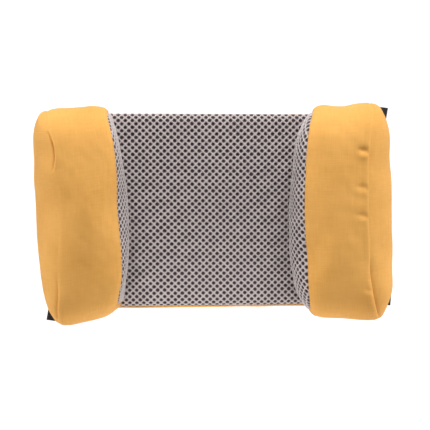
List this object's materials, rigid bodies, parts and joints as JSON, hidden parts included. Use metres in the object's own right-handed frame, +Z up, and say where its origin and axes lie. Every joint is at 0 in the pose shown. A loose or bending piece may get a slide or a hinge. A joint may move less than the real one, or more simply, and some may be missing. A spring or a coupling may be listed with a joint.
{
  "type": "chair headrest attachment",
  "caption": "Padded headrest that straps to a chair back: a flat mesh-faced pad between thick wedge bolsters that cradle the head, with wrap-round straps and a rear zip.",
  "frame": {"origin": "middle of the flat rear face, which rests on the chair", "axes": "+X to the right as seen from the front, +Y towards the rear, +Z up; the user faces -Y"},
  "size_m": [0.3715, 0.1057, 0.2205],
  "materials": {
    "cover_cloth": "matt woven cloth, warm yellow",
    "spacer_mesh": "matt knitted spacer mesh, warm grey",
    "foam": "open-cell foam and fibre filling",
    "board": "rolled plastic sheet",
    "wadding": "soft needled wadding",
    "webbing": "woven webbing, black",
    "hook_tape": "moulded hook tape, black",
    "loop_tape": "napped loop tape, black",
    "zip_tape": "woven zip tape",
    "zip_coil": "nylon coil",
    "zip_metal": "plated zinc casting",
    "thread": "sewing thread"
  },
  "bodies": {
    "pad": {"pad_front_mesh": "spacer_mesh", "pad_boxing": "cover_cloth", "pad_foam": "foam", "pad_board": "board", "rear_wadding": "wadding", "rear_upper_panel": "cover_cloth", "rear_centre_panel": "cover_cloth", "rear_lower_panel": "cover_cloth", "zip_upper_tape": "zip_tape", "zip_lower_tape": "zip_tape", "zip_upper_coil": "zip_coil", "zip_lower_coil": "zip_coil", "zip_stops": "zip_metal", "upper_strap_anchor": "webbing", "upper_anchor_stitching": "thread", "upper_loop_patch": "loop_tape", "lower_strap_anchor": "webbing", "lower_anchor_stitching": "thread", "lower_loop_patch": "loop_tape"},
    "left_bolster": {"left_bolster_inner_mesh": "spacer_mesh", "left_bolster_outer_panel": "cover_cloth", "left_bolster_boxing": "cover_cloth", "left_bolster_base_panel": "cover_cloth", "left_bolster_foam": "foam", "left_bolster_hook_strips": "hook_tape"},
    "right_bolster": {"right_bolster_inner_mesh": "spacer_mesh", "right_bolster_outer_panel": "cover_cloth", "right_bolster_boxing": "cover_cloth", "right_bolster_base_panel": "cover_cloth", "right_bolster_foam": "foam", "right_bolster_hook_strips": "hook_tape"},
    "upper_strap": {"upper_strap_webbing": "webbing", "upper_strap_hook_patch": "hook_tape"},
    "lower_strap": {"lower_strap_webbing": "webbing", "lower_strap_hook_patch": "hook_tape"},
    "zip_slider": {"zip_slider": "zip_metal"},
    "zip_pull": {"zip_pull": "zip_metal"}
  },
  "joints": [
    {"name": "left_bolster_slide", "type": "slide", "parent": "pad", "child": "left_bolster", "axis": [1, 0, 0], "range_m": [0, 0.025]},
    {"name": "right_bolster_slide", "type": "slide", "parent": "pad", "child": "right_bolster", "axis": [-1, 0, 0], "range_m": [0, 0.025]},
    {"name": "upper_strap_fold", "type": "hinge", "parent": "pad", "child": "upper_strap", "pos_m": [-0.173, 0.0021, 0.0622], "axis": [-0.0872, 0, 0.9962], "range_deg": [0, 180]},
    {"name": "lower_strap_fold", "type": "hinge", "parent": "pad", "child": "lower_strap", "pos_m": [0.19, 0.0021, -0.091], "axis": [-0.0122, 0, -0.9999], "range_deg": [0, 180]},
    {"name": "zip_slider_travel", "type": "slide", "parent": "pad", "child": "zip_slider", "axis": [-1, 0, 0], "range_m": [0, 0.25]},
    {"name": "zip_pull_hinge", "type": "hinge", "parent": "zip_slider", "child": "zip_pull", "pos_m": [0.128, 0.0018, -0.045], "axis": [0, 0, -1], "range_deg": [0, 160]}
  ]
}
